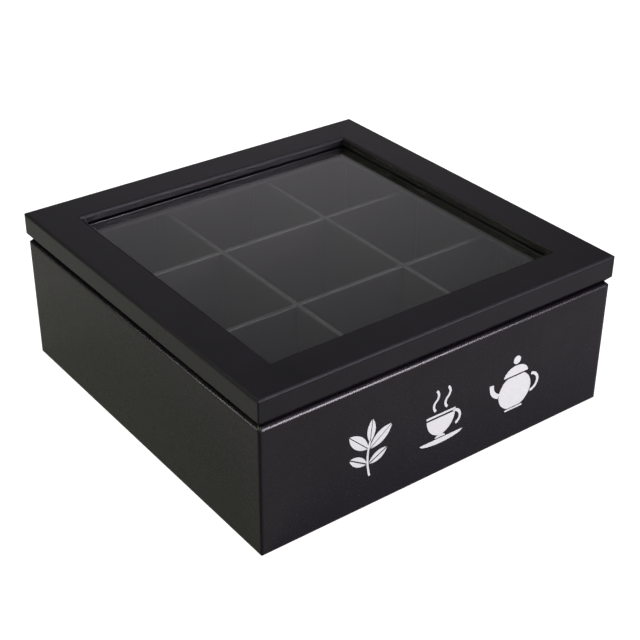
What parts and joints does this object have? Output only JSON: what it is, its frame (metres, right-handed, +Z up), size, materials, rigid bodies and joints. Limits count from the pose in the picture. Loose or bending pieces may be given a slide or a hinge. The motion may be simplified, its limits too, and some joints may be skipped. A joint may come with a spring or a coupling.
{
  "type": "tea bag organizer box",
  "caption": "Square black storage box for tea bags, with compartments inside and a hinged, bevelled lid that frames a pane of glass.",
  "frame": {"origin": "centre of the underside of the box", "axes": "+X to the right along the decorated front, +Y towards the hinges at the back, +Z up"},
  "size_m": [0.24, 0.24, 0.095],
  "materials": {
    "case_paint": "satin black paint with a fine grain, on fibreboard",
    "lid_paint": "satin black paint with a fine grain, on fibreboard",
    "inside_paint": "matt black paint, on thin fibreboard",
    "glass": "clear polished",
    "hinge_metal": "nickel plated",
    "pin_metal": "bright drawn wire",
    "screw_metal": "nickel plated",
    "silver_print": "satin silver paint"
  },
  "bodies": {
    "box": {"box_front_panel": "case_paint", "box_back_panel": "case_paint", "box_left_panel": "case_paint", "box_right_panel": "case_paint", "base_panel": "inside_paint", "divider_left": "inside_paint", "divider_right": "inside_paint", "divider_front": "inside_paint", "divider_back": "inside_paint", "hinge_leaf_box_left": "hinge_metal", "hinge_leaf_box_right": "hinge_metal", "hinge_pin_left": "pin_metal", "hinge_pin_right": "pin_metal", "hinge_screws_box": "screw_metal"},
    "lid": {"lid_front_rail": "lid_paint", "lid_back_rail": "lid_paint", "lid_left_rail": "lid_paint", "lid_right_rail": "lid_paint", "glass_pane": "glass", "hinge_leaf_lid_left": "hinge_metal", "hinge_leaf_lid_right": "hinge_metal", "hinge_screws_lid": "screw_metal"}
  },
  "joints": [
    {"name": "lid_hinge", "type": "hinge", "parent": "box", "child": "lid", "pos_m": [0, 0.117, 0.0785], "axis": [-1, 0, 0], "range_deg": [0, 95]}
  ]
}
